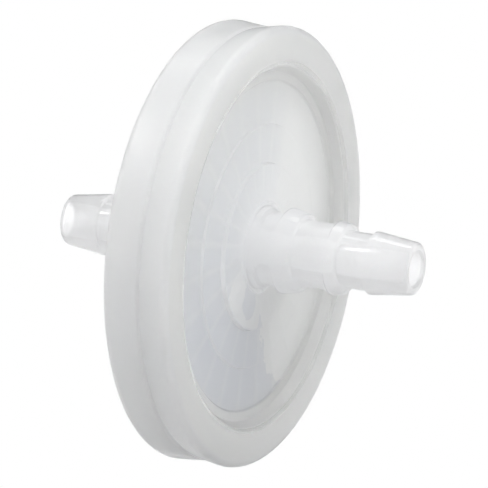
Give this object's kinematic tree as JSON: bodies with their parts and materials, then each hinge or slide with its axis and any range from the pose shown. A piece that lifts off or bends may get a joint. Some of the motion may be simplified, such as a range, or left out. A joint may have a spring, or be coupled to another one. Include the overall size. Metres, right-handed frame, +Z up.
{
  "type": "in-line disc filter",
  "caption": "Round in-line disc syringe filter of translucent plastic, with a welded rim, recessed ringed plates and a stepped hose barb on each side.",
  "frame": {"origin": "middle of the filter on the disc axis, halfway between the two barb ends", "axes": "+X along the disc axis out of the front barb, +Z up; the disc stands upright, as it hangs between two hoses"},
  "size_m": [0.052, 0.06, 0.06],
  "materials": {
    "housing": "translucent milky polypropylene, smooth moulded, soft gloss",
    "support": "white drainage net, matt",
    "membrane": "white microporous film, matt"
  },
  "bodies": {
    "root": {"front_housing": "housing", "rear_housing": "housing", "front_support": "support", "membrane": "membrane", "rear_support": "support"}
  },
  "joints": []
}
